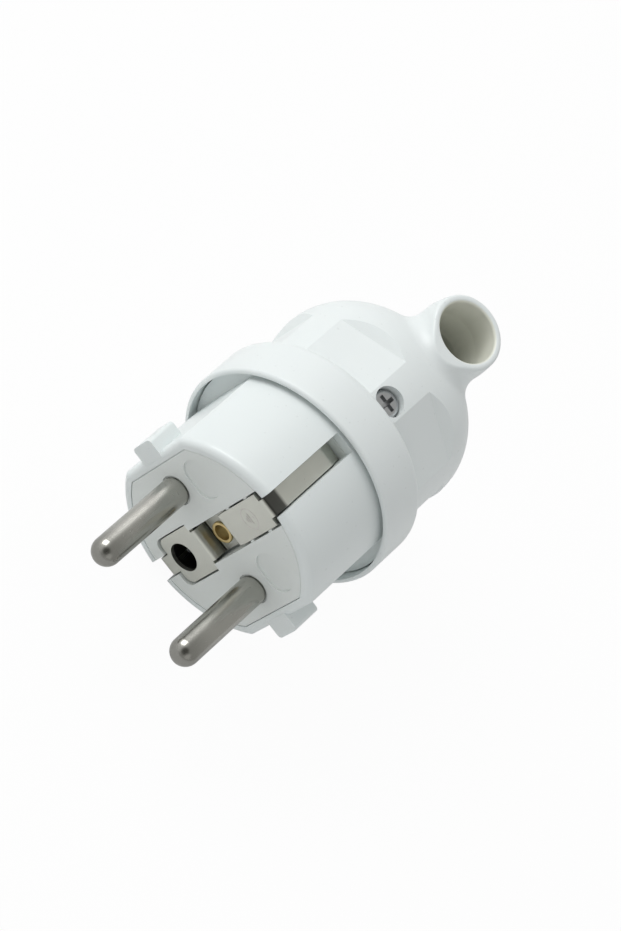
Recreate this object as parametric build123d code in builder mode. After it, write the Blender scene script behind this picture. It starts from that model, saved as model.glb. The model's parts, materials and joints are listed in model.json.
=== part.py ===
from build123d import *
import os
from math import atan2, cos, degrees, radians, sin

# Rewirable mains plug with two round pins, an earth hole, side earth clips and a cord outlet
# at a right angle. Sizes are in millimetres.
#
# While it is modelled, X runs forward along the pins with the face at x = 0, Y runs from the live
# pin to the neutral pin, and Z runs towards the cord outlet. At the end the plug is laid down as it
# rests: outlet up, on its ring and on the lower front edge of its shell.

# Pins and earth hole
pin_diameter = 4.8
pin_length = 19.0
pin_pitch = 19.0
pin_seat_diameter = 4.2
pin_recess_diameter = 5.3
pin_recess_depth = 0.3
pin_collar_diameter = 6.6
pin_collar_length = 1.6
pin_collar_depth = 3.0
pin_shank_diameter = 4.0
earth_offset = 10.0
earth_hole_diameter = 5.1

# Front shell: a sleeve with side flats, guide lugs and clip slots
shell_radius = 18.0
shell_length = 17.3
shell_wall = 1.65
shell_flat = 15.85
shell_edge = 1.1
lug_width = 5.0
lug_length = 5.5
lug_reach = 18.3
lug_round = 0.7
clip_slot_width = 3.7
flange_radius = 18.7
flange_thickness = 1.6
flange_recess = 2.0

# Pin carrier: the moulding inside the shell
carrier_wall = 1.5
carrier_front = 6.2
strap_pocket_width = 6.5
socket_pocket_width = 8.95
socket_pocket_end = 13.4
socket_corner = 1.6
pocket_depth = 4.1
clip_channel_height = 13.6
pin_boss_diameter = 9.4
sleeve_boss_diameter = 9.6
seam_chamfer = 0.2
strap_nib_reach = 0.3
strap_nib_width = 0.9
strap_nib_low = 7.1
strap_nib_high = 12.3
label_depth = 0.3
label_length = 7.0
label_width = 5.2
label_corner = 2.3
label_offset_y = 8.9
label_offset_z = 6.9

# Folded earth strips
sheet = 0.7
sheet_bend = 0.5
plate_setback = 0.35
strap_width = 5.8
strap_start = 4.0
strap_end = 14.6
tab_setback = 2.6
tab_width = 5.6
socket_top = 3.4
socket_width = 8.4
clip_width = 3.2
clip_height = 16.0
clip_front = 2.2
clip_rear = 14.3
clip_tail = 1.6
eyelet_offset = 0.7
eyelet_head = 1.9
eyelet_barrel = 1.65
eyelet_hole = 1.35
eyelet_head_thickness = 0.35

# Earth sleeve
sleeve_wall = 0.8
sleeve_length = 19.5
sleeve_slit = 0.8

# Terminals
block_length = 9.5
block_width = 6.0
block_height = 7.0
block_seat = 17.3
shank_in_block = 4.0
wire_hole_diameter = 3.2
wire_hole_depth = 4.6
clamp_screw_from_rear = 2.7
earth_block_length = 8.0
earth_block_diameter = 8.4
earth_block_seat = 3.0
washer_size = 6.4
washer_thickness = 0.8

# Screws: thread diameter, head diameter and head height
small_thread = 3.0
small_head = 5.0
small_head_height = 1.7
cross_width = 0.7
cross_span = 3.0
cross_depth = 1.1

# Rear cover
ring_gap = 0.2
ring_width = 9.1
ring_lip = 0.8
ring_front_round = 0.6
ring_rear_round = 1.5
ring_step = 1.5
body_radius = 17.9
flat_depth = 1.15
flat_count = 6
flat_end = 38.1
flat_end_slant = 1.8
cover_wall = 1.6
seam_angle = 181.53
dome_start = 38.1
dome_length = 13.4
dome_wall = 1.8

# Cord outlet: a ball at the bottom, a neck, a swelling below the rim and a round mouth
outlet_position = 49.2
outlet_height = 18.4
outlet_radius = 6.3
outlet_swell_radius = 6.7
outlet_swell_height = 14.0
outlet_neck_radius = 5.6
outlet_neck_height = 8.0
outlet_ball_height = 3.5
outlet_wall = 1.2
outlet_bore_radius = 5.1
outlet_bore_start = 12.8
outlet_blend = 3.0
outlet_lip_round = 0.6
mouth_round = 0.5

# Cover screw behind the ring
cover_screw_position = 29.0
cover_screw_recess_diameter = 5.1
cover_screw_head = 4.7
cover_screw_head_height = 1.4
cover_screw_seat = 15.5
cover_screw_boss_diameter = 8.4
cover_screw_boss_end = 13.3
cover_screw_end = 7.6
nut_size = 5.5
nut_thickness = 2.4
arm_width = 9.0
arm_bottom = 8.6
arm_end = 33.2

# Cord clamp on the carrier's rear tongue
tongue_top = -9.0
tongue_thickness = 2.2
rail_width = 2.6
rail_offset = 6.6
clamp_position = 36.5
clamp_plate_length = 6.0
clamp_screw_spacing = 14.4
clamp_post_diameter = 5.2
clamp_post_top = -2.0
clamp_bar_thickness = 2.4
clamp_bar_width = 5.2
clamp_screw_depth = 5.0

# Fits
slip = 0.05
thread_gap = 0.03

# Places worked out from the sizes above
pin_half = pin_pitch / 2
lip_x = -shell_length
flange_front = lip_x - flange_recess
flange_back = flange_front - flange_thickness
ring_back = lip_x - ring_width
carrier_radius = shell_radius - shell_wall - slip
carrier_flat = shell_flat - shell_wall - slip
flat_distance = body_radius - flat_depth
cavity_radius = flat_distance - cover_wall
mouth_radius = flange_radius + ring_gap
ring_radius = mouth_radius + ring_lip
block_front = -block_seat
block_back = block_front - block_length
sleeve_radius = earth_hole_diameter / 2 + sleeve_wall
sleeve_front = -plate_setback - sheet
sleeve_back = sleeve_front - sleeve_length
tab_front = -tab_setback
socket_wall_end = socket_top + sheet + slip
earth_block_front = sleeve_back + earth_block_seat
earth_block_back = earth_block_front - earth_block_length


def radial_plane(angle):
    """Plane through the plug axis, its Y pointing outwards at an angle from +Z towards +Y."""
    turn = radians(angle)
    return Plane(origin=(0, 0, 0), x_dir=(1, 0, 0), z_dir=(0, -cos(turn), sin(turn)))


def screw(head_plane, thread, head, head_height, length):
    """Pan head screw whose head stands on head_plane and whose shank runs the other way."""
    with BuildPart() as made:
        with BuildSketch(head_plane):
            Circle(head / 2)
        extrude(amount=head_height)
        fillet(made.faces().sort_by(Axis(head_plane.origin, head_plane.z_dir))[-1].edges(), head_height * 0.45)
        with BuildSketch(head_plane):
            Circle(thread / 2)
        extrude(amount=-length)
        chamfer(made.faces().sort_by(Axis(head_plane.origin, head_plane.z_dir))[0].edges(), thread * 0.15)
        with BuildSketch(head_plane.offset(head_height)):
            Rectangle(cross_span, cross_width)
            Rectangle(cross_width, cross_span)
        extrude(amount=-cross_depth, mode=Mode.SUBTRACT)
    return made


# Front shell
with BuildPart() as front_shell:
    with BuildSketch(Plane.YZ.offset(flange_back)):
        Circle(shell_radius)
        Rectangle(2 * shell_flat, 2 * shell_radius, mode=Mode.INTERSECT)
    extrude(amount=-flange_back)
    fillet(front_shell.faces().sort_by(Axis.X)[-1].edges(), shell_edge)
    with BuildSketch(Plane.YZ):
        RectangleRounded(2 * lug_reach, lug_width, lug_round)
        Rectangle(2 * (shell_flat - shell_wall / 2), lug_width, mode=Mode.SUBTRACT)
    extrude(amount=-lug_length)
    with BuildSketch(Plane.YZ.offset(flange_back)):
        Circle(flange_radius)
    extrude(amount=flange_thickness)
    with BuildSketch(Plane.YZ):
        Circle(carrier_radius + slip)
        Rectangle(2 * (carrier_flat + slip), 2 * shell_radius, mode=Mode.INTERSECT)
    extrude(amount=flange_back, mode=Mode.SUBTRACT)
    with BuildSketch(Plane.YZ):
        with Locations((0, shell_radius), (0, -shell_radius)):
            Rectangle(clip_slot_width, 2 * shell_edge + 2 * shell_wall)
    extrude(amount=lip_x, mode=Mode.SUBTRACT)

# Pin carrier
tongue_rear = -(clamp_position + clamp_plate_length / 2)
with BuildPart() as pin_carrier:
    with BuildSketch(Plane.YZ):
        Circle(carrier_radius)
        Rectangle(2 * carrier_flat, 2 * shell_radius, mode=Mode.INTERSECT)
    extrude(amount=flange_back)
    chamfer(pin_carrier.faces().sort_by(Axis.X)[-1].edges(), seam_chamfer)
    # The rear is cored out, and bosses carry the pins and the earth sleeve
    with BuildSketch(Plane.YZ.offset(flange_back)):
        Circle(carrier_radius - carrier_wall)
        Rectangle(2 * (carrier_flat - carrier_wall), 2 * (clip_channel_height - carrier_wall), mode=Mode.INTERSECT)
    extrude(amount=-flange_back - carrier_front, mode=Mode.SUBTRACT)
    with BuildSketch(Plane.YZ.offset(block_front)):
        with Locations((pin_half, 0), (-pin_half, 0)):
            Circle(pin_boss_diameter / 2)
    extrude(amount=-block_front - carrier_front)
    with BuildSketch(Plane.YZ.offset(earth_block_front)):
        with Locations((0, -earth_offset)):
            Circle(sleeve_boss_diameter / 2)
    extrude(amount=-earth_block_front - carrier_front)
    with BuildSketch(Plane.YZ.offset(earth_block_front)):
        with Locations((0, -earth_offset)):
            Circle(earth_block_diameter / 2 + slip)
    extrude(amount=flange_back - earth_block_front, mode=Mode.SUBTRACT)
    # Arm over the top that holds the nut of the cover screw
    with BuildSketch(Plane.XZ):
        with Locations(((-arm_end - carrier_front) / 2, (arm_bottom + cover_screw_boss_end - slip) / 2)):
            Rectangle(arm_end - carrier_front, cover_screw_boss_end - slip - arm_bottom)
    extrude(amount=arm_width / 2, both=True)
    with BuildSketch(Plane.XY.offset(arm_bottom)):
        with Locations((-cover_screw_position, 0)):
            Rectangle(nut_size + 2 * slip, nut_size + 2 * slip)
    extrude(amount=nut_thickness, mode=Mode.SUBTRACT)
    with Locations(Plane.XY.offset(arm_bottom)):
        with Locations((-cover_screw_position, 0)):
            Cylinder(small_thread / 2 + slip, 2 * (cover_screw_boss_end - arm_bottom), mode=Mode.SUBTRACT)
    # Rails and plate under the cord, with a post on each side for the clamp screws
    with BuildSketch(Plane.XY.offset(tongue_top)):
        with Locations(*[((tongue_rear - carrier_front) / 2, side * rail_offset) for side in (-1, 1)]):
            Rectangle(-tongue_rear - carrier_front, rail_width)
        with Locations((-clamp_position, 0)):
            Rectangle(clamp_plate_length, clamp_screw_spacing + clamp_post_diameter)
    extrude(amount=-tongue_thickness)
    with BuildSketch(Plane.XY.offset(tongue_top - tongue_thickness)):
        with Locations(*[(-clamp_position, side * clamp_screw_spacing / 2) for side in (-1, 1)]):
            Circle(clamp_post_diameter / 2)
    extrude(amount=clamp_post_top - tongue_top + tongue_thickness)
    with BuildSketch(Plane.XY.offset(clamp_post_top)):
        with Locations(*[(-clamp_position, side * clamp_screw_spacing / 2) for side in (-1, 1)]):
            Circle(small_thread / 2 + thread_gap)
    extrude(amount=-clamp_screw_depth - slip, mode=Mode.SUBTRACT)
    # Pin holes, recessed at the face and stepped for the collar and the shank
    with BuildSketch(Plane.YZ):
        with Locations((pin_half, 0), (-pin_half, 0)):
            Circle(pin_recess_diameter / 2)
    extrude(amount=-pin_recess_depth, mode=Mode.SUBTRACT)
    with BuildSketch(Plane.YZ):
        with Locations((pin_half, 0), (-pin_half, 0)):
            Circle(pin_seat_diameter / 2 + slip)
    extrude(amount=-pin_collar_depth, mode=Mode.SUBTRACT)
    with BuildSketch(Plane.YZ.offset(-pin_collar_depth)):
        with Locations((pin_half, 0), (-pin_half, 0)):
            Circle(pin_collar_diameter / 2 + slip)
    extrude(amount=-pin_collar_length, mode=Mode.SUBTRACT)
    with BuildSketch(Plane.YZ.offset(-pin_collar_depth)):
        with Locations((pin_half, 0), (-pin_half, 0)):
            Circle(pin_shank_diameter / 2 + slip)
    extrude(amount=block_front + pin_collar_depth, mode=Mode.SUBTRACT)
    # Pockets of the two folded strips in the face, and the hole of the sleeve
    with BuildSketch(Plane.YZ):
        with Locations((0, (shell_radius - socket_wall_end) / 2)):
            Rectangle(strap_pocket_width, shell_radius + socket_wall_end)
        with Locations((0, -(socket_pocket_end + socket_wall_end) / 2)):
            RectangleRounded(socket_pocket_width, socket_pocket_end - socket_wall_end, socket_corner)
        with Locations((0, -socket_wall_end - socket_corner)):
            Rectangle(socket_pocket_width, 2 * socket_corner)
        with Locations((0, -(socket_pocket_end + shell_radius) / 2)):
            Rectangle(clip_slot_width, shell_radius - socket_pocket_end)
    extrude(amount=-pocket_depth, mode=Mode.SUBTRACT)
    with BuildSketch(Plane.YZ):
        with Locations((0, -earth_offset)):
            Circle(sleeve_radius + slip)
    extrude(amount=2 * flange_back, mode=Mode.SUBTRACT)
    with BuildSketch(Plane.YZ.offset(-pocket_depth)):
        with Locations((0, -eyelet_offset)):
            Circle(eyelet_head + slip)
    extrude(amount=-eyelet_head_thickness - slip, mode=Mode.SUBTRACT)
    # Channels of the two side clips
    channel = shell_radius - clip_channel_height
    with BuildSketch(Plane.YZ):
        with Locations((0, clip_channel_height + channel / 2), (0, -clip_channel_height - channel / 2)):
            Rectangle(clip_slot_width, channel)
    extrude(amount=lip_x, mode=Mode.SUBTRACT)
    # Blank shallow fields beside the pins
    with BuildSketch(Plane.YZ):
        with Locations(*[(side * label_offset_y, label_offset_z) for side in (-1, 1)]):
            RectangleRounded(label_length, label_width, label_corner)
    extrude(amount=-label_depth, mode=Mode.SUBTRACT)
    # Nibs that hold the strap's long edges
    with BuildSketch(Plane.YZ.offset(-pocket_depth)):
        for height in (strap_nib_low, strap_nib_high):
            with Locations(*[(side * (strap_pocket_width - strap_nib_reach) / 2, height) for side in (-1, 1)]):
                Rectangle(strap_nib_reach, strap_nib_width)
    extrude(amount=pocket_depth - plate_setback)


def turned_pin(side):
    """Round-ended contact pin with a collar and a rear shank, on one side of the face."""
    axis_point = Vector(0, side * pin_half, 0)
    across = Plane(origin=axis_point, x_dir=(1, 0, 0), z_dir=(0, -1, 0))
    radius = pin_diameter / 2
    collar_back = -pin_collar_depth - pin_collar_length
    with BuildPart() as made:
        with BuildSketch(across):
            with BuildLine():
                Polyline(
                    (pin_length - radius, radius),
                    (slip, radius),
                    (slip, pin_seat_diameter / 2),
                    (-pin_collar_depth, pin_seat_diameter / 2),
                    (-pin_collar_depth, pin_collar_diameter / 2),
                    (collar_back, pin_collar_diameter / 2),
                    (collar_back, pin_shank_diameter / 2),
                    (block_front - shank_in_block, pin_shank_diameter / 2),
                    (block_front - shank_in_block, 0),
                    (pin_length, 0),
                )
                RadiusArc((pin_length, 0), (pin_length - radius, radius), -radius)
            make_face()
        revolve(axis=Axis(axis_point, (1, 0, 0)))
    return made


def terminal(side):
    """Brass block behind one pin, bored for the shank, the wire and the clamp screw."""
    with BuildPart() as made:
        with BuildSketch(Plane.YZ.offset(block_front)):
            with Locations((side * pin_half, 0)):
                Rectangle(block_width, block_height)
        extrude(amount=-block_length)
        chamfer(made.edges().filter_by(Axis.X), 0.6)
        with BuildSketch(Plane.YZ.offset(block_front)):
            with Locations((side * pin_half, 0)):
                Circle(pin_shank_diameter / 2)
        extrude(amount=-shank_in_block, mode=Mode.SUBTRACT)
        with BuildSketch(Plane.YZ.offset(block_back)):
            with Locations((side * pin_half, 0)):
                Circle(wire_hole_diameter / 2)
        extrude(amount=wire_hole_depth, mode=Mode.SUBTRACT)
        with BuildSketch(Plane.XY.offset(block_height / 2)):
            with Locations((block_back + clamp_screw_from_rear, side * pin_half)):
                Circle(small_thread / 2 + thread_gap)
        extrude(amount=-block_height / 2, mode=Mode.SUBTRACT)
    return made


def block_screw(side):
    """Clamp screw on top of one pin's block."""
    seat = Plane(origin=(block_back + clamp_screw_from_rear, side * pin_half, block_height / 2))
    return screw(seat, small_thread, small_head, small_head_height, block_height / 2 - thread_gap)


live_pin = turned_pin(-1)
neutral_pin = turned_pin(1)
live_terminal = terminal(-1)
neutral_terminal = terminal(1)
live_terminal_screw = block_screw(-1)
neutral_terminal_screw = block_screw(1)

# Earth strap: tab under the eyelet, riser, face plate and upper side clip, folded from one strip
plate_line = -plate_setback - sheet / 2
tab_line = -tab_setback - sheet / 2
clip_line = clip_height - sheet / 2
with BuildPart() as earth_strap:
    with BuildSketch(Plane.XZ):
        with BuildLine():
            FilletPolyline(
                (tab_line, -socket_top + sheet),
                (tab_line, strap_start - sheet / 2),
                (plate_line, strap_start - sheet / 2),
                (plate_line, strap_start + 2 * sheet),
                radius=sheet_bend,
            )
        trace(line_width=sheet)
    extrude(amount=tab_width / 2, both=True)
    with BuildSketch(Plane.YZ.offset(-plate_setback)):
        with Locations((0, (strap_start + strap_end) / 2 + sheet / 2)):
            Rectangle(strap_width, strap_end - strap_start - sheet)
    extrude(amount=-sheet)
    with BuildSketch(Plane.XZ):
        with BuildLine():
            FilletPolyline(
                (plate_line, strap_end - sheet),
                (plate_line, clip_line - 0.4),
                (-clip_front, clip_line),
                (-clip_rear, clip_line),
                (lip_x + 0.3, clip_line - clip_tail),
                radius=sheet_bend,
            )
        trace(line_width=sheet)
    extrude(amount=clip_width / 2, both=True)
    with BuildSketch(Plane.YZ):
        with Locations((0, -eyelet_offset)):
            Circle(eyelet_barrel + thread_gap)
    extrude(amount=-pocket_depth, mode=Mode.SUBTRACT)

# Earth socket: tab behind the strap's tab, wall, face plate with the earth hole, and lower side clip
inner_tab_line = tab_line - sheet
with BuildPart() as earth_socket:
    with BuildSketch(Plane.XZ):
        with BuildLine():
            FilletPolyline(
                (inner_tab_line, strap_start - sheet),
                (inner_tab_line, -socket_top - sheet / 2),
                (plate_line, -socket_top - sheet / 2),
                (plate_line, -socket_top - 3 * sheet),
                radius=sheet_bend,
            )
        trace(line_width=sheet)
    extrude(amount=tab_width / 2, both=True)
    with BuildSketch(Plane.YZ.offset(-plate_setback)):
        with Locations((0, -(socket_top + sheet + socket_pocket_end) / 2)):
            RectangleRounded(socket_width, socket_pocket_end - socket_top - 2 * sheet, socket_corner)
        with Locations((0, -socket_top - sheet - socket_corner)):
            Rectangle(socket_width, 2 * socket_corner - sheet)
    extrude(amount=-sheet)
    with BuildSketch(Plane.XZ):
        with BuildLine():
            FilletPolyline(
                (plate_line, -socket_pocket_end + 2 * sheet),
                (plate_line, -clip_line + 0.4),
                (-clip_front, -clip_line),
                (-clip_rear, -clip_line),
                (lip_x + 0.3, -clip_line + clip_tail),
                radius=sheet_bend,
            )
        trace(line_width=sheet)
    extrude(amount=clip_width / 2, both=True)
    with BuildSketch(Plane.YZ):
        with Locations((0, -eyelet_offset)):
            Circle(eyelet_barrel + thread_gap)
        with Locations((0, -earth_offset)):
            Circle(earth_hole_diameter / 2)
    extrude(amount=-pocket_depth, mode=Mode.SUBTRACT)

# Hollow rivet through both tabs
stack = 2 * sheet
with BuildPart() as earth_eyelet:
    with BuildSketch(Plane.YZ.offset(tab_front)):
        with Locations((0, -eyelet_offset)):
            Circle(eyelet_head)
    extrude(amount=eyelet_head_thickness)
    with BuildSketch(Plane.YZ.offset(tab_front)):
        with Locations((0, -eyelet_offset)):
            Circle(eyelet_barrel)
    extrude(amount=-stack)
    with BuildSketch(Plane.YZ.offset(tab_front - stack)):
        with Locations((0, -eyelet_offset)):
            Circle(eyelet_head)
    extrude(amount=-eyelet_head_thickness)
    with BuildSketch(Plane.YZ):
        with Locations((0, -eyelet_offset)):
            Circle(eyelet_hole)
    extrude(amount=-2 * pocket_depth, mode=Mode.SUBTRACT)
    front_edges = earth_eyelet.faces().sort_by(Axis.X)[-1].edges()
    fillet(front_edges, eyelet_head_thickness * 0.4)

# Slit sleeve behind the earth hole
with BuildPart() as earth_sleeve:
    with BuildSketch(Plane.YZ.offset(sleeve_front)):
        with Locations((0, -earth_offset)):
            Circle(sleeve_radius)
            Circle(earth_hole_diameter / 2, mode=Mode.SUBTRACT)
        with Locations((0, -earth_offset - sleeve_radius)):
            Rectangle(sleeve_slit, 4 * sleeve_wall, mode=Mode.SUBTRACT)
    extrude(amount=-sleeve_length)

# Earth terminal on the sleeve's rear end, with a binding screw and a square washer
with BuildPart() as earth_terminal:
    with BuildSketch(Plane.YZ.offset(earth_block_back)):
        with Locations((0, -earth_offset)):
            Circle(earth_block_diameter / 2)
    extrude(amount=earth_block_length)
    with BuildSketch(Plane.YZ.offset(earth_block_front)):
        with Locations((0, -earth_offset)):
            Circle(sleeve_radius)
    extrude(amount=-earth_block_seat, mode=Mode.SUBTRACT)
    with BuildSketch(Plane.YZ.offset(earth_block_back)):
        with Locations((0, -earth_offset)):
            Circle(small_thread / 2 + thread_gap)
    extrude(amount=earth_block_length - earth_block_seat - sheet, mode=Mode.SUBTRACT)

with BuildPart() as earth_washer:
    with BuildSketch(Plane.YZ.offset(earth_block_back)):
        with Locations((0, -earth_offset)):
            RectangleRounded(washer_size, washer_size, sheet_bend)
            Circle(small_thread / 2 + slip, mode=Mode.SUBTRACT)
    extrude(amount=-washer_thickness)

washer_back = earth_block_back - washer_thickness
earth_terminal_screw = screw(
    Plane(origin=(washer_back, 0, -earth_offset), x_dir=(0, 1, 0), z_dir=(-1, 0, 0)),
    small_thread,
    small_head,
    small_head_height,
    washer_thickness + earth_block_length - earth_block_seat - sheet - thread_gap,
)

# Cord clamp
with BuildPart() as cord_clamp:
    with BuildSketch(Plane.XY.offset(clamp_post_top)):
        with Locations((-clamp_position, 0)):
            SlotOverall(clamp_screw_spacing + clamp_bar_width, clamp_bar_width, rotation=90)
        with Locations(*[(-clamp_position, side * clamp_screw_spacing / 2) for side in (-1, 1)]):
            Circle(small_thread / 2 + slip, mode=Mode.SUBTRACT)
    extrude(amount=clamp_bar_thickness)
    chamfer(cord_clamp.faces().sort_by(Axis.Z)[-1].outer_wire().edges(), 0.5)


def clamp_screw(side):
    """Screw on one side of the cord, through the bar into its post."""
    seat = Plane(origin=(-clamp_position, side * clamp_screw_spacing / 2, clamp_post_top + clamp_bar_thickness))
    return screw(seat, small_thread, small_head, small_head_height, clamp_bar_thickness + clamp_screw_depth)


clamp_screw_left = clamp_screw(-1)
clamp_screw_right = clamp_screw(1)

# Cover screw and its captive nut
cover_screw = screw(
    Plane(origin=(-cover_screw_position, 0, cover_screw_seat)),
    small_thread,
    cover_screw_head,
    cover_screw_head_height,
    cover_screw_seat - cover_screw_end,
)

with BuildPart() as cover_nut:
    with BuildSketch(Plane.XY.offset(arm_bottom)):
        with Locations((-cover_screw_position, 0)):
            Rectangle(nut_size, nut_size)
            Circle(small_thread / 2 + thread_gap, mode=Mode.SUBTRACT)
    extrude(amount=nut_thickness)

# Rear cover: ring, finger flats, dome and cord outlet in one moulding
with BuildPart() as rear_cover:
    # The profile is drawn near the lowest line, which keeps the surface's seam away from the outlet
    with BuildSketch(radial_plane(seam_angle)):
        with BuildLine():
            ring_rear_low = (ring_back, ring_radius - ring_step)
            Polyline((-dome_start - dome_length, 0), (lip_x, 0), (lip_x, ring_radius - ring_front_round))
            RadiusArc(
                (lip_x, ring_radius - ring_front_round),
                (lip_x - ring_front_round, ring_radius),
                -ring_front_round,
            )
            Line((lip_x - ring_front_round, ring_radius), (ring_back + ring_rear_round, ring_radius))
            RadiusArc((ring_back + ring_rear_round, ring_radius), ring_rear_low, -ring_rear_round)
            Polyline(ring_rear_low, (ring_back, body_radius), (-dome_start, body_radius))
            EllipticalCenterArc((-dome_start, 0), dome_length, body_radius, start_angle=90, arc_size=90)
        make_face()
    revolve(axis=Axis.X)
    # Finger flats, each with a slanted end
    for index in range(flat_count):
        angle = 360 / flat_count * (index + 0.5)
        with BuildSketch(radial_plane(angle)):
            with BuildLine():
                Polyline(
                    (-flat_end - flat_end_slant, flat_distance + 2 * flat_depth),
                    (ring_back, flat_distance + 2 * flat_depth),
                    (ring_back, flat_distance),
                    (-flat_end + flat_end_slant, flat_distance),
                    close=True,
                )
            make_face()
        extrude(amount=body_radius, both=True, mode=Mode.SUBTRACT)
    # Outlet tube, blended into the dome while it is still too tall, then cut to its height
    outlet_axis = Axis((-outlet_position, 0, 0), (0, 0, 1))
    outlet_top = outlet_height + 2 * outlet_blend
    with BuildSketch(Plane.XZ):
        with BuildLine():
            ball_bottom = (-outlet_position, outlet_ball_height - outlet_neck_radius)
            ball_side = (-outlet_position - outlet_neck_radius, outlet_ball_height)
            RadiusArc(ball_bottom, ball_side, outlet_neck_radius)
            Spline(
                ball_side,
                (-outlet_position - outlet_neck_radius, outlet_neck_height),
                (-outlet_position - outlet_swell_radius, outlet_swell_height),
                (-outlet_position - outlet_radius, outlet_height),
                (-outlet_position - outlet_radius, outlet_top),
                tangents=((0, 1), (0, 1)),
            )
            Polyline((-outlet_position - outlet_radius, outlet_top), (-outlet_position, outlet_top), ball_bottom)
        make_face()
    edges_before = rear_cover.edges()
    revolve(axis=outlet_axis)
    new_edges = (rear_cover.edges() - edges_before).filter_by(GeomType.BSPLINE)
    meeting = new_edges.filter_by(lambda edge: edge.bounding_box().size.Y > slip).sort_by(Axis.X)
    fillet(meeting, outlet_blend)
    with BuildSketch(Plane.XY.offset(outlet_height)):
        with Locations((-outlet_position, 0)):
            Circle(outlet_radius + 2 * outlet_blend)
    extrude(amount=2 * outlet_blend, mode=Mode.SUBTRACT)
    rim = rear_cover.faces().filter_by(Plane.XY).sort_by(Axis.Z)[-1]
    fillet(rim.edges(), outlet_lip_round)
    # The inside: mouth for the shell's flange, round cavity and hollow dome
    with BuildSketch(Plane.XZ):
        with BuildLine():
            Polyline(
                (-dome_start - dome_length + dome_wall, 0),
                (lip_x, 0),
                (lip_x, mouth_radius),
                (flange_back, mouth_radius),
                (flange_back, cavity_radius),
                (-dome_start, cavity_radius),
            )
            EllipticalCenterArc(
                (-dome_start, 0), dome_length - dome_wall, cavity_radius, start_angle=90, arc_size=90
            )
        make_face()
    revolve(axis=Axis.X, mode=Mode.SUBTRACT)
    with BuildSketch(Plane.XZ):
        with BuildLine():
            inner_radius = outlet_neck_radius - outlet_wall
            inner_bottom = (-outlet_position, outlet_ball_height - inner_radius)
            inner_side = (-outlet_position - inner_radius, outlet_ball_height)
            RadiusArc(inner_bottom, inner_side, inner_radius)
            Polyline(
                inner_side,
                (-outlet_position - inner_radius, outlet_neck_height),
                (-outlet_position - outlet_bore_radius, outlet_bore_start),
                (-outlet_position - outlet_bore_radius, outlet_height),
                (-outlet_position, outlet_height),
                inner_bottom,
            )
        make_face()
    revolve(axis=outlet_axis, mode=Mode.SUBTRACT)
    rim = rear_cover.faces().filter_by(Plane.XY).sort_by(Axis.Z)[-1]
    fillet(rim.inner_wires().edges(), mouth_round)
    # Boss and stepped hole of the cover screw
    with BuildSketch(Plane.XY.offset(cover_screw_boss_end)):
        with Locations((-cover_screw_position, 0)):
            Circle(cover_screw_boss_diameter / 2)
    extrude(amount=cavity_radius + cover_wall / 2 - cover_screw_boss_end)
    with BuildSketch(Plane.XY.offset(cover_screw_seat)):
        with Locations((-cover_screw_position, 0)):
            Circle(cover_screw_recess_diameter / 2)
    extrude(amount=ring_radius - cover_screw_seat, mode=Mode.SUBTRACT)
    with BuildSketch(Plane.XY.offset(cover_screw_boss_end)):
        with Locations((-cover_screw_position, 0)):
            Circle(small_thread / 2 + slip)
    extrude(amount=cover_screw_seat - cover_screw_boss_end, mode=Mode.SUBTRACT)

pieces = {
    "rear_cover": rear_cover,
    "front_shell": front_shell,
    "pin_carrier": pin_carrier,
    "live_pin": live_pin,
    "neutral_pin": neutral_pin,
    "live_terminal": live_terminal,
    "neutral_terminal": neutral_terminal,
    "live_terminal_screw": live_terminal_screw,
    "neutral_terminal_screw": neutral_terminal_screw,
    "earth_strap": earth_strap,
    "earth_socket": earth_socket,
    "earth_eyelet": earth_eyelet,
    "earth_sleeve": earth_sleeve,
    "earth_terminal": earth_terminal,
    "earth_washer": earth_washer,
    "earth_terminal_screw": earth_terminal_screw,
    "cord_clamp": cord_clamp,
    "clamp_screw_left": clamp_screw_left,
    "clamp_screw_right": clamp_screw_right,
    "cover_screw": cover_screw,
    "cover_nut": cover_nut,
}

# The plug is laid down: it dips until the shell's lower front edge is as low as the ring, and its
# lowest point is at Z 0, under the middle of its box
dip = degrees(atan2(ring_radius - shell_radius, shell_length + ring_front_round - shell_edge))
dipped = Location((0, 0, 0), (0, dip, 0))
boxes = [piece.part.moved(dipped).bounding_box() for piece in pieces.values()]
low_x, high_x = min(box.min.X for box in boxes), max(box.max.X for box in boxes)
low_z = min(box.min.Z for box in boxes)
laid = Location((-(low_x + high_x) / 2, 0, -low_z)) * dipped
print("dip", dip, "place of the face's centre", laid.position)

os.makedirs("parts", exist_ok=True)
for name, piece in pieces.items():
    piece.part.locate(laid)
    piece.part.label = name
    export_step(piece.part, f"parts/{name}.step")
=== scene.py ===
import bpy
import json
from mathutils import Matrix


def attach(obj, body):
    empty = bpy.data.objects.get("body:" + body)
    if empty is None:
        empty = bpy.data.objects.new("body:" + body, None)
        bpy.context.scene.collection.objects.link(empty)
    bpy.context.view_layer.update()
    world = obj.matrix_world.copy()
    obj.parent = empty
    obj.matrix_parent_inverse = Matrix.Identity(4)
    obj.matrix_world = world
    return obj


bl_info = {
    "name": "Right-angle plug finishes",
    "version": (1, 0, 0),
    "blender": (4, 5, 0),
    "location": "3D View > Sidebar > Plug",
    "description": "Finishes, earth mark, lights and camera for a rewirable mains plug",
    "category": "Object",
}

import json
import math

import bpy
from bpy.props import FloatProperty, FloatVectorProperty, PointerProperty
from mathutils import Matrix, Vector

MM = 0.001

# Places along the plug's own axes, in millimetres from the middle of its face
PIN_WALL_MIDDLE = 8.325
PLATE_FRONT = -0.35
MARK_CENTRE = 10.0
PLUG_MIDDLE = -18.0
OUTLET_AXIS = -49.2
CAMERA_PLACE = (307.9, -51.1, 444.5)

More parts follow.
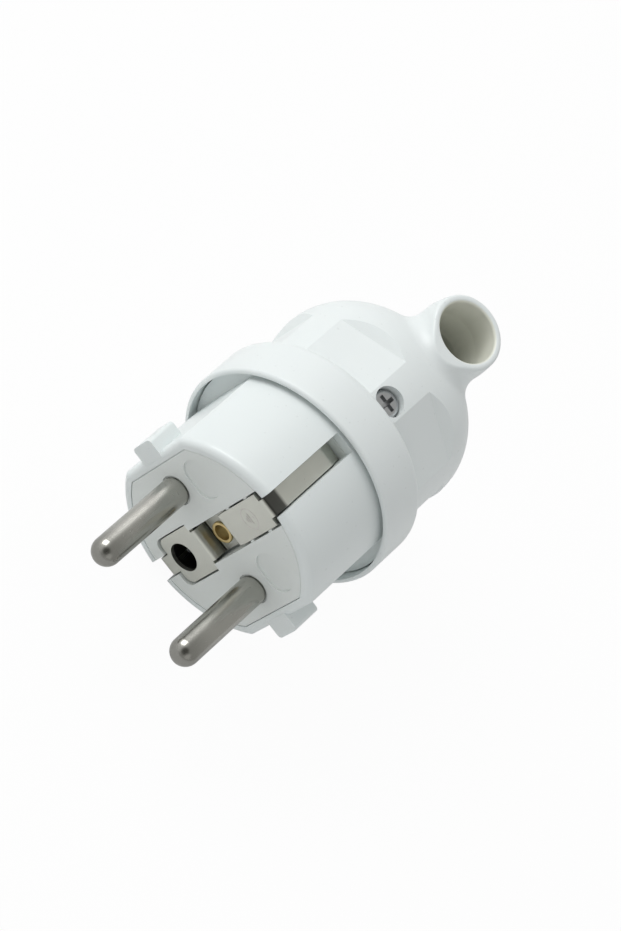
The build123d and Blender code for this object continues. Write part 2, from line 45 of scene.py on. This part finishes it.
# How the streaks are squeezed along the plug's axes: rings on turned metal, and lines on strips and screws
TURNED = (4.0, 0.6, 0.6)
ROLLED = (0.6, 3.0, 0.6)
THREADED = (0.7, 0.7, 3.0)

WHITE = (1.0, 1.0, 1.0, 1.0)
# Olive painted shade for the inside of the cord outlet
BORE_SHADE = (0.765, 0.775, 0.69, 1.0)
DARK_ROOM = (0.12, 0.12, 0.11, 1.0)

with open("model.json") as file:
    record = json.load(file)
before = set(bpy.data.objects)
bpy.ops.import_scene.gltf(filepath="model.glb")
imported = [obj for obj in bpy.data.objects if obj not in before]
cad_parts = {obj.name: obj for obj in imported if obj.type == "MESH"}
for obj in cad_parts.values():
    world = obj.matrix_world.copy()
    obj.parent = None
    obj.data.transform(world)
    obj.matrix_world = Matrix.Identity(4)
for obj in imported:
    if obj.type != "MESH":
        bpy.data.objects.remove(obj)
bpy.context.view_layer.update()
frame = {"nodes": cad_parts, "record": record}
MOUNTS = {mount["name"]: mount for mount in frame["record"]["mounts"]}

# The plug's own axes: forward along its pins, across from the live to the neutral pin, and up
# towards the cord outlet. The face's centre lies behind the middle of the two pins.
FORWARD = Vector(MOUNTS["live_pin"]["axis"]).normalized()
ACROSS = Vector((0, 1, 0))
UPWARD = FORWARD.cross(ACROSS)
PIN_MIDDLE = (Vector(MOUNTS["live_pin"]["pos_m"]) + Vector(MOUNTS["neutral_pin"]["pos_m"])) / 2
FACE_CENTRE = PIN_MIDDLE - FORWARD * PIN_WALL_MIDDLE * MM
PLUG_TURN = Matrix((FORWARD, ACROSS, UPWARD)).transposed()
PLUG_PLACE = Matrix.Translation(FACE_CENTRE) @ PLUG_TURN.to_4x4()
DIP = PLUG_TURN.to_euler().y


def at(x, y, z):
    """Point of the row frame at a place on the plug, given in millimetres from the face's centre."""
    return PLUG_PLACE @ (Vector((x, y, z)) * MM)


def colour_prop(name, description, default):
    return FloatVectorProperty(
        name=name, description=description, default=default, subtype="COLOR", size=3, min=0, max=1
    )


def share_prop(name, description, default):
    return FloatProperty(
        name=name, description=description, default=default, min=0, max=1, subtype="FACTOR"
    )


def length_prop(name, description, default):
    return FloatProperty(name=name, description=description, default=default, min=0, unit="LENGTH")


def power_prop(name, description, default):
    return FloatProperty(name=name, description=description, default=default, min=0, unit="POWER")


class PlugFinishes(bpy.types.PropertyGroup):
    cover_white: colour_prop("Cover white", "Colour of the cover with its ring", (0.785, 0.83, 0.825))
    shell_white: colour_prop("Shell white", "Colour of the front shell", (0.775, 0.825, 0.82))
    carrier_white: colour_prop("Carrier white", "Colour of the pin carrier", (0.745, 0.785, 0.765))
    plastic_roughness: share_prop("Plastic roughness", "Roughness of the moulded plastic", 0.36)
    nickel: colour_prop("Nickel", "Colour of the plated pins", (0.47, 0.465, 0.43))
    pin_roughness: share_prop("Pin roughness", "Roughness of the plated pins", 0.22)
    strip: colour_prop("Strip metal", "Colour of the folded earth strips", (0.71, 0.72, 0.66))
    strip_roughness: share_prop("Strip roughness", "Roughness of the folded strips", 0.36)
    # The sleeve's dark colour is painted shade for the inside of the earth hole
    sleeve: colour_prop("Sleeve", "Colour of the dark sleeve in the earth hole", (0.2, 0.2, 0.185))
    brass: colour_prop("Brass", "Colour of the turned brass pieces", (0.74, 0.58, 0.28))
    steel: colour_prop("Zinc", "Colour of the plated screws", (0.56, 0.57, 0.58))


class PlugMark(bpy.types.PropertyGroup):
    height: length_prop("Height", "How far the mark stands out of the strip", 0.04 * MM)
    line: length_prop("Line", "Width of the mark's lines", 0.16 * MM)
    width: length_prop("Width", "Half width of the oval round the mark", 1.85 * MM)
    tall: length_prop("Tall", "Half height of the oval round the mark", 1.5 * MM)


class PlugStage(bpy.types.PropertyGroup):
    key: power_prop("Key light", "Power of the light on the live pin's side", 3.5)
    fill: power_prop("Fill light", "Power of the light on the other side", 0.2)
    lamp_size: length_prop("Lamp size", "Width of the two lights", 0.5)
    ambient: share_prop("Ambient", "Strength of the light from all around", 0.56)
    room: share_prop("Room", "Brightness of the room that the metals mirror", 0.5)
    lens: FloatProperty(name="Lens", description="Focal length on a 36 mm film", default=138.597, min=1)


class Value:
    """A shader socket. Sums on it add Math nodes."""

    def __init__(self, tree, socket):
        self.tree = tree
        self.socket = socket

    def math(self, operation, first, second):
        return self.tree.add("ShaderNodeMath", {"operation": operation}, {0: first, 1: second})

    def __add__(self, other):
        return self.math("ADD", self, other)

    __radd__ = __add__

    def __sub__(self, other):
        return self.math("SUBTRACT", self, other)

    def __rsub__(self, other):
        return self.math("SUBTRACT", other, self)

    def __mul__(self, other):
        return self.math("MULTIPLY", self, other)

    __rmul__ = __mul__

    def above(self, low, high):
        """0 below low, 1 above high, and smooth between them."""
        settings = {"interpolation_type": "SMOOTHSTEP"}
        values = {"Value": self, "From Min": low, "From Max": high}
        return self.tree.add("ShaderNodeMapRange", settings, values)


class Tree:
    """The node tree of a material or a world, built from nothing."""

    def __init__(self, owner):
        owner.use_nodes = True
        self.nodes = owner.node_tree.nodes
        self.links = owner.node_tree.links
        self.nodes.clear()

    def add(self, kind, settings=None, values=None, output=0):
        """A node of that kind: its settings first, then its sockets, and the output asked for."""
        node = self.nodes.new(kind)
        for name, setting in (settings or {}).items():
            setattr(node, name, setting)
        for name, value in (values or {}).items():
            if isinstance(value, Value):
                self.links.new(value.socket, node.inputs[name])
            else:
                node.inputs[name].default_value = value
        return Value(self, node.outputs[output])

    def mix(self, share, first, second):
        """A colour between two others."""
        pair = {0: share, 6: first, 7: second}
        return self.add("ShaderNodeMix", {"data_type": "RGBA"}, pair, output=2)

    def place(self):
        """Where a point is on the plug, in metres along the plug's own axes."""
        settings = {"vector_type": "TEXTURE"}
        here = self.add("ShaderNodeTexCoord", output="Object")
        from_face = self.add("ShaderNodeMapping", settings, {"Vector": here, "Location": FACE_CENTRE})
        return self.add("ShaderNodeMapping", settings, {"Vector": from_face, "Rotation": (0, DIP, 0)})

    def towards(self, direction, aim):
        """1 where a direction is the one aimed at, 0 across it and -1 away from it."""
        settings = {"operation": "DOT_PRODUCT"}
        return self.add("ShaderNodeVectorMath", settings, {0: direction, 1: aim}, output="Value")

    def stretched(self, place, scale):
        return self.add("ShaderNodeMapping", values={"Vector": place, "Scale": scale})

    def along(self, place, axis):
        """One of the three numbers of a place."""
        return self.add("ShaderNodeSeparateXYZ", values={0: place}, output=axis)

    def from_line(self, place, spread, point):
        """Distance of a place from a line; spread is 0 along the line and 1 across it."""
        settings = {"operation": "DISTANCE"}
        flat = self.stretched(place, spread)
        return self.add("ShaderNodeVectorMath", settings, {0: flat, 1: point}, output="Value")

    def noise(self, place, scale, detail=3.0, roughness=0.5):
        values = {"Vector": place, "Scale": scale, "Detail": detail, "Roughness": roughness}
        return self.add("ShaderNodeTexNoise", values=values)

    def bump(self, height, depth):
        return self.add("ShaderNodeBump", values={"Height": height, "Distance": depth, "Strength": 1.0})

    def surface(self, values):
        """The Principled shader and the output node."""
        shader = self.add("ShaderNodeBsdfPrincipled", values=values)
        self.finish(shader)

    def finish(self, shader):
        end = self.nodes.new("ShaderNodeOutputMaterial")
        self.links.new(shader.socket, end.inputs["Surface"])


def solid(colour):
    return (*colour, 1.0)


def darker(colour, share):
    return (*(channel * share for channel in colour), 1.0)


def outlet_shade(tree, place):
    """Painted shade inside the cord outlet: 1 inside it and 0 elsewhere."""
    distance = tree.from_line(place, (1.0, 1.0, 0.0), (OUTLET_AXIS * MM, 0.0, 0.0))
    in_bore = 1 - distance.above(5.15 * MM, 5.5 * MM)
    over_dome = tree.along(place, 2).above(3 * MM, 5 * MM)
    return in_bore * over_dome


def strip_fold_shade(tree, place):
    """1 in the first bend of the side clips as painted dark reflection, less in the pocket as painted shade,
    and 0 along the tab's edge, left bright as a painted highlight.
    """
    depth = tree.along(place, 0)
    height = tree.along(place, 2)
    off_middle = height.math("ABSOLUTE", height, 0.0)
    # The first bend, between the face plate and the straight part of the clip, gets a painted dark
    # reflection
    behind_plate = 1 - depth.above(-0.75 * MM, -0.45 * MM)
    before_clip = depth.above(-3.4 * MM, -2.6 * MM)
    bend = behind_plate * before_clip * off_middle.above(14.4 * MM, 14.7 * MM)
    # The pocket round the eyelet gets painted shade, deeper on the lower wall than on the tab
    pocket = (1 - depth.above(-1.3 * MM, -0.8 * MM)) * (1 - off_middle.above(4.1 * MM, 4.4 * MM))
    wall = 1 - height.above(-3.1 * MM, -2.8 * MM)
    # The tab's lower edge is kept out of the pocket's shade as a painted highlight
    highlit_edge = (1 - height.above(-2.45 * MM, -2.35 * MM)) * depth.above(-2.8 * MM, -2.7 * MM)
    return bend + (0.28 + 0.4 * wall) * pocket * (1 - highlit_edge)


def tip_dark_reflection(tree, place):
    """Painted dark reflection on the pins: 0 up to 12 mm in front of the face, rising to 1 at 18 mm over the
    round ends.
    """
    return tree.along(place, 0).above(12.0 * MM, 18.0 * MM)


def moulded_plastic(name, colour, roughness, shade_mask=None):
    """White plastic with soft gloss, faint flow marks, fine scuffs and dust; olive painted shade where a
    given mask says.
    """
    material = bpy.data.materials.new(name)
    tree = Tree(material)
    place = tree.place()
    flow = tree.noise(place, 55.0, 3.0)
    grain = tree.noise(place, 2600.0, 2.0)
    scuff_place = tree.stretched(place, (1.0, 5.0, 3.0))
    scuffs = tree.noise(scuff_place, 420.0, 5.0, 0.7).above(0.66, 0.8)
    dust = tree.noise(place, 1500.0, 1.0).above(0.72, 0.78)
    tint = tree.mix(flow, darker(colour, 0.965), solid(colour))
    worn = tree.mix(0.25 * scuffs, tint, darker(colour, 0.8))
    dust_and_shade = tree.mix(0.2 * dust, worn, darker(colour, 0.62))
    # Painted shade: olive where the given mask is set
    if shade_mask:
        dust_and_shade = tree.mix(shade_mask(tree, place), dust_and_shade, BORE_SHADE)
    tree.surface(
        {
            "Base Color": dust_and_shade,
            "Roughness": roughness - 0.06 + 0.12 * flow + 0.12 * scuffs,
            "IOR": 1.5,
            "Subsurface Weight": 0.12,
            "Subsurface Radius": (0.9, 0.95, 1.0),
            "Subsurface Scale": 0.4 * MM,
            "Normal": tree.bump(grain + 0.6 * scuffs + 3.0 * flow, 0.006 * MM),
        }
    )
    return material


def plated_metal(name, colour, roughness, streaks, depth, shade_mask=None, shade_share=0.3):
    """Metal with fine streaks, cloudy polish and small dark marks; its colour times a given share where a
    given mask paints shade.
    """
    material = bpy.data.materials.new(name)
    tree = Tree(material)
    place = tree.place()
    cloud = tree.noise(place, 300.0, 4.0)
    lines = tree.noise(tree.stretched(place, streaks), 1000.0, 4.0, 0.6)
    pits = tree.noise(place, 2400.0, 2.0).above(0.7, 0.78)
    tint = tree.mix(cloud, darker(colour, 0.86), solid(colour))
    marks_and_shade = tree.mix(0.35 * pits, tint, darker(colour, 0.35))
    # Painted shade darkens the metal where the given mask says
    if shade_mask:
        marks_and_shade = tree.mix(shade_mask(tree, place), marks_and_shade, darker(colour, shade_share))
    tree.surface(
        {
            "Base Color": marks_and_shade,
            "Metallic": 1.0,
            "Roughness": roughness - 0.08 + 0.1 * cloud + 0.1 * lines + 0.15 * pits,
            "Normal": tree.bump(lines - 0.4 * pits, depth),
        }
    )
    return material


def dress(node, material):
    """A CAD node gets its finish; its mesh stays as it is."""
    mesh = frame["nodes"][node].data
    mesh.materials.clear()
    mesh.materials.append(material)


class PLUG_OT_mouldings(bpy.types.Operator):
    """Give the cover, the shell, the carrier and the cord clamp their white plastic"""

    bl_idname = "plug.mouldings"
    bl_label = "Plastic mouldings"

    def execute(self, context):
        finishes = context.scene.plug_finishes
        roughness = finishes.plastic_roughness
        # The cover gets olive painted shade inside the cord outlet
        cover = moulded_plastic("cover_plastic", finishes.cover_white, roughness, outlet_shade)
        shell = moulded_plastic("shell_plastic", finishes.shell_white, roughness - 0.04)
        carrier = moulded_plastic("carrier_plastic", finishes.carrier_white, roughness + 0.06)
        dress("rear_cover", cover)
        dress("front_shell", shell)
        dress("pin_carrier", carrier)
        dress("cord_clamp", carrier)
        return {"FINISHED"}


class PLUG_OT_contacts(bpy.types.Operator):
    """Give the two pins their plating"""

    bl_idname = "plug.contacts"
    bl_label = "Contact pins"

    def execute(self, context):
        finishes = context.scene.plug_finishes
        roughness = finishes.pin_roughness
        # The pins' ends get a painted dark reflection
        plating = plated_metal(
            "pin_plating", finishes.nickel, roughness, TURNED, 0.002 * MM, tip_dark_reflection, 0.65
        )
        dress("live_pin", plating)
        dress("neutral_pin", plating)
        return {"FINISHED"}


class PLUG_OT_earth_strips(bpy.types.Operator):
    """Give the folded earth strips and the pieces riveted to them their metals"""

    bl_idname = "plug.earth_strips"
    bl_label = "Earth strips"

    def execute(self, context):
        finishes = context.scene.plug_finishes
        roughness = finishes.strip_roughness
        # The strips get a painted dark reflection in their first bend and painted shade in the pocket
        strip = plated_metal("strip_metal", finishes.strip, roughness, ROLLED, 0.004 * MM, strip_fold_shade, 0.15)
        dress("earth_strap", strip)
        dress("earth_socket", strip)
        # The sleeve's dark colour is painted shade for the inside of the earth hole
        sleeve = plated_metal("sleeve_metal", finishes.sleeve, 0.3, TURNED, 0.003 * MM)
        dress("earth_sleeve", sleeve)
        brass = plated_metal("turned_brass", finishes.brass, 0.3, TURNED, 0.003 * MM)
        dress("earth_eyelet", brass)
        dress("earth_terminal", brass)
        dress("live_terminal", brass)
        dress("neutral_terminal", brass)
        return {"FINISHED"}


class PLUG_OT_earth_mark(bpy.types.Operator):
    """Add the embossed earth symbol in its oval on the strap's plate"""

    bl_idname = "plug.earth_mark"
    bl_label = "Earth mark"

    def execute(self, context):
        mark = context.scene.plug_mark
        turn = PLUG_TURN.to_euler()
        flat = (PLUG_TURN @ Matrix.Rotation(math.pi / 2, 3, "Y")).to_euler()
        bpy.ops.object.select_all(action="DESELECT")
        bpy.ops.mesh.primitive_torus_add(
            major_segments=72,
            minor_segments=10,
            major_radius=mark.tall,
            minor_radius=mark.line / 2,
            location=at(PLATE_FRONT, 0, MARK_CENTRE),
            rotation=flat,
        )
        piece = context.object
        piece.scale = (1.0, mark.width / mark.tall, 2 * mark.height / mark.line)
        piece.name = "earth_mark"
        # Stem and three bars: rise from the mark's centre, length of the bar, and whether it stands
        bars = [(0.65, 0.9, True), (0.2, 1.9, False), (-0.2, 1.25, False), (-0.6, 0.6, False)]
        for rise, length, upright in bars:
            middle = at(PLATE_FRONT, 0, MARK_CENTRE + rise)
            bpy.ops.object.select_all(action="DESELECT")
            bpy.ops.mesh.primitive_cube_add(size=1.0, location=middle, rotation=turn)
            bar = context.object
            across, tall = (mark.line, length * MM) if upright else (length * MM, mark.line)
            bar.scale = (2 * mark.height, across, tall)
            bpy.ops.object.transform_apply(location=True, rotation=True, scale=True)
            piece.select_set(True)
            context.view_layer.objects.active = piece
            bpy.ops.object.join()
        bpy.ops.object.transform_apply(location=True, rotation=True, scale=True)
        bpy.ops.object.shade_smooth_by_angle(angle=math.radians(40))
        piece.data.materials.append(bpy.data.materials["strip_metal"])
        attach(piece, "root")
        return {"FINISHED"}


class PLUG_OT_screws(bpy.types.Operator):
    """Give the screws, the nut and the washer their zinc plating"""

    bl_idname = "plug.screws"
    bl_label = "Screws"

    def execute(self, context):
        finishes = context.scene.plug_finishes
        zinc = plated_metal("screw_zinc", finishes.steel, 0.3, THREADED, 0.004 * MM)
        for node in (
            "cover_screw",
            "cover_nut",
            "clamp_screw_left",
            "clamp_screw_right",
            "live_terminal_screw",
            "neutral_terminal_screw",
            "earth_terminal_screw",
            "earth_washer",
        ):
            dress(node, zinc)
        return {"FINISHED"}


def lamp(name, place, target, size, power):
    """Square area light at one place, aimed at another."""
    light = bpy.data.lights.new(name, "AREA")
    light.shape = "SQUARE"
    light.size = size
    light.energy = power
    holder = bpy.data.objects.new(name, light)
    holder.location = place
    holder.rotation_euler = (target - place).to_track_quat("-Z", "Y").to_euler()
    bpy.context.collection.objects.link(holder)


class PLUG_OT_stage(bpy.types.Operator):
    """Add the floor, the lights, the surroundings and the camera"""

    bl_idname = "plug.stage"
    bl_label = "Stage"

    def execute(self, context):
        stage = context.scene.plug_stage
        bpy.ops.object.select_all(action="DESELECT")
        bpy.ops.mesh.primitive_plane_add(size=6.0, location=(0, 0, 0))
        floor = context.object
        floor.name = "floor"
        floor.data.materials.append(self.floor_material())
        middle = at(PLUG_MIDDLE, 0, 0)
        key_place = middle + Vector((-0.06, -0.66, 0.45))
        fill_place = middle + Vector((0.5, 0.45, 0.35))
        lamp("key_light", key_place, middle, stage.lamp_size, stage.key)
        lamp("fill_light", fill_place, middle, stage.lamp_size, stage.fill)
        self.surroundings(stage.ambient, stage.room)
        self.camera(stage.lens)
        context.scene.view_settings.view_transform = "Standard"
        return {"FINISHED"}

    def floor_material(self):
        """White paper that is plain white to the camera, apart from the plug's shadow."""
        material = bpy.data.materials.new("floor_paper")
        tree = Tree(material)
        paper = tree.add("ShaderNodeBsdfDiffuse", values={"Color": (0.9, 0.9, 0.9, 1.0)})
        glow = tree.add("ShaderNodeEmission", values={"Color": WHITE, "Strength": 1.0})
        seen = tree.add("ShaderNodeLightPath", output="Is Camera Ray")
        tree.finish(tree.add("ShaderNodeMixShader", values={0: 0.95 * seen, 1: paper, 2: glow}))
        return material

    def surroundings(self, strength, brightness):
        """Even light from all around, and for what mirrors it a grey room, bright on the live pin's
        side and dark where the camera stands."""
        world = bpy.data.worlds.new("surroundings")
        bpy.context.scene.world = world
        tree = Tree(world)
        ray = tree.add("ShaderNodeLightPath", output="Is Camera Ray")
        gloss = tree.add("ShaderNodeLightPath", output="Is Glossy Ray")
        direction = tree.add("ShaderNodeTexCoord", output="Generated")
        bright_wall = tree.towards(direction, (0, -1, 0)).above(0.15, 0.8)
        dark_corner = tree.towards(direction, at(*CAMERA_PLACE).normalized()).above(0.8, 0.96)
        room = tree.mix(bright_wall, (brightness, brightness, brightness * 0.97, 1.0), WHITE)
        mirrored = tree.mix(dark_corner, room, DARK_ROOM)
        even = tree.mix(gloss, (strength, strength, strength, 1.0), mirrored)
        colour = tree.mix(ray, even, WHITE)
        shader = tree.add("ShaderNodeBackground", values={"Color": colour, "Strength": 1.0})
        end = tree.nodes.new("ShaderNodeOutputWorld")
        tree.links.new(shader.socket, end.inputs["Surface"])

    def camera(self, lens):
        """Camera at the photograph's place, given on the plug's own axes."""
        data = bpy.data.cameras.new("camera")
        data.lens = lens
        data.sensor_width = 36.0
        holder = bpy.data.objects.new("camera", data)
        right = Vector((-0.5996, 0.6100, 0.5181))
        back = Vector((0.5943, -0.0941, 0.7987))
        up = back.cross(right)
        turn = PLUG_TURN @ Matrix((right, up, back)).transposed()
        holder.matrix_world = Matrix.Translation(at(*CAMERA_PLACE)) @ turn.to_4x4()
        bpy.context.collection.objects.link(holder)
        bpy.context.scene.camera = holder


class PLUG_PT_panel(bpy.types.Panel):
    """Lists the steps and the settings of the plug"""

    bl_label = "Plug"
    bl_space_type = "VIEW_3D"
    bl_region_type = "UI"
    bl_category = "Plug"

    def draw(self, context):
        for operator in OPERATORS:
            self.layout.operator(operator.bl_idname)
        for group in (context.scene.plug_finishes, context.scene.plug_mark, context.scene.plug_stage):
            for name in group.bl_rna.properties.keys():
                if name not in {"rna_type", "name"}:
                    self.layout.prop(group, name)


OPERATORS = (
    PLUG_OT_mouldings,
    PLUG_OT_contacts,
    PLUG_OT_earth_strips,
    PLUG_OT_earth_mark,
    PLUG_OT_screws,
    PLUG_OT_stage,
)
CLASSES = (PlugFinishes, PlugMark, PlugStage, *OPERATORS, PLUG_PT_panel)


def register():
    for entry in CLASSES:
        bpy.utils.register_class(entry)
    bpy.types.Scene.plug_finishes = PointerProperty(type=PlugFinishes)
    bpy.types.Scene.plug_mark = PointerProperty(type=PlugMark)
    bpy.types.Scene.plug_stage = PointerProperty(type=PlugStage)


def unregister():
    del bpy.types.Scene.plug_stage
    del bpy.types.Scene.plug_mark
    del bpy.types.Scene.plug_finishes
    for entry in reversed(CLASSES):
        bpy.utils.unregister_class(entry)


def main():
    register()
    bpy.ops.plug.mouldings()
    bpy.ops.plug.contacts()
    bpy.ops.plug.earth_strips()
    bpy.ops.plug.earth_mark()
    bpy.ops.plug.screws()
    bpy.ops.plug.stage()


if __name__ == "__main__":
    main()
